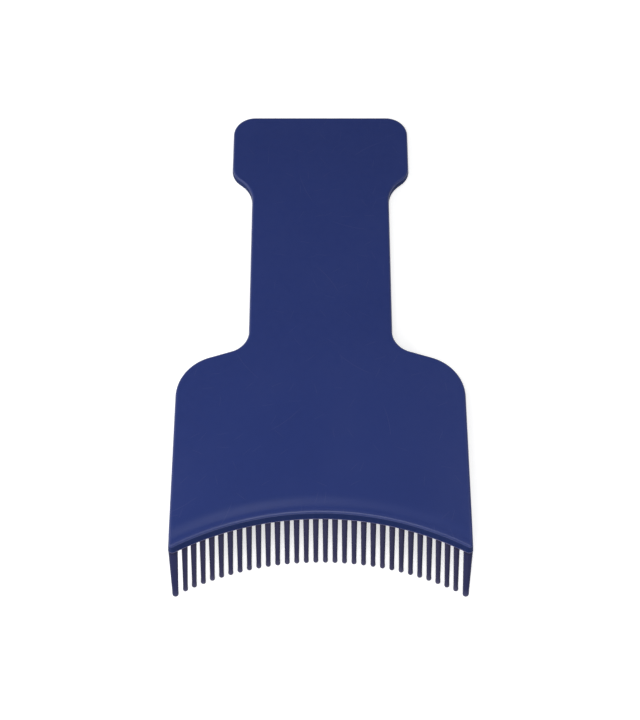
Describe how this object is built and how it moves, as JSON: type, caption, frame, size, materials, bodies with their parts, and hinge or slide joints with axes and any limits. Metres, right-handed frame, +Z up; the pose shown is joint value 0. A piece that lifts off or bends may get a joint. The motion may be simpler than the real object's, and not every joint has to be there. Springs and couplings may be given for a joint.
{
  "type": "hair highlighting board",
  "caption": "Flat plastic hair highlighting board: wide blade with a concave comb edge, parallel neck and T-shaped grip head.",
  "frame": {"origin": "centre of the bounding box in plan, on the surface that the board lies on", "axes": "+X to the right and +Y from the comb towards the head, seen from above with the smooth face up; +Z up. The board lies on the rear edge of its head and on its tooth tips, so its smooth face slopes 4.6 degrees up towards the comb."},
  "size_m": [0.1006, 0.1886, 0.0167],
  "materials": {
    "board_plastic": "satin",
    "comb_plastic": "satin"
  },
  "bodies": {
    "root": {"blade": "board_plastic", "neck": "board_plastic", "grip_head": "board_plastic", "comb_wall": "board_plastic", "corner_tooth_left": "comb_plastic", "corner_tooth_right": "comb_plastic", "tooth_01": "comb_plastic", "tooth_02": "comb_plastic", "tooth_03": "comb_plastic", "tooth_04": "comb_plastic", "tooth_05": "comb_plastic", "tooth_06": "comb_plastic", "tooth_07": "comb_plastic", "tooth_08": "comb_plastic", "tooth_09": "comb_plastic", "tooth_10": "comb_plastic", "tooth_11": "comb_plastic", "tooth_12": "comb_plastic", "tooth_13": "comb_plastic", "tooth_14": "comb_plastic", "tooth_15": "comb_plastic", "tooth_16": "comb_plastic", "tooth_17": "comb_plastic", "tooth_18": "comb_plastic", "tooth_19": "comb_plastic", "tooth_20": "comb_plastic", "tooth_21": "comb_plastic", "tooth_22": "comb_plastic", "tooth_23": "comb_plastic", "tooth_24": "comb_plastic", "tooth_25": "comb_plastic", "tooth_26": "comb_plastic", "tooth_27": "comb_plastic", "tooth_28": "comb_plastic", "tooth_29": "comb_plastic", "tooth_30": "comb_plastic"}
  },
  "joints": []
}
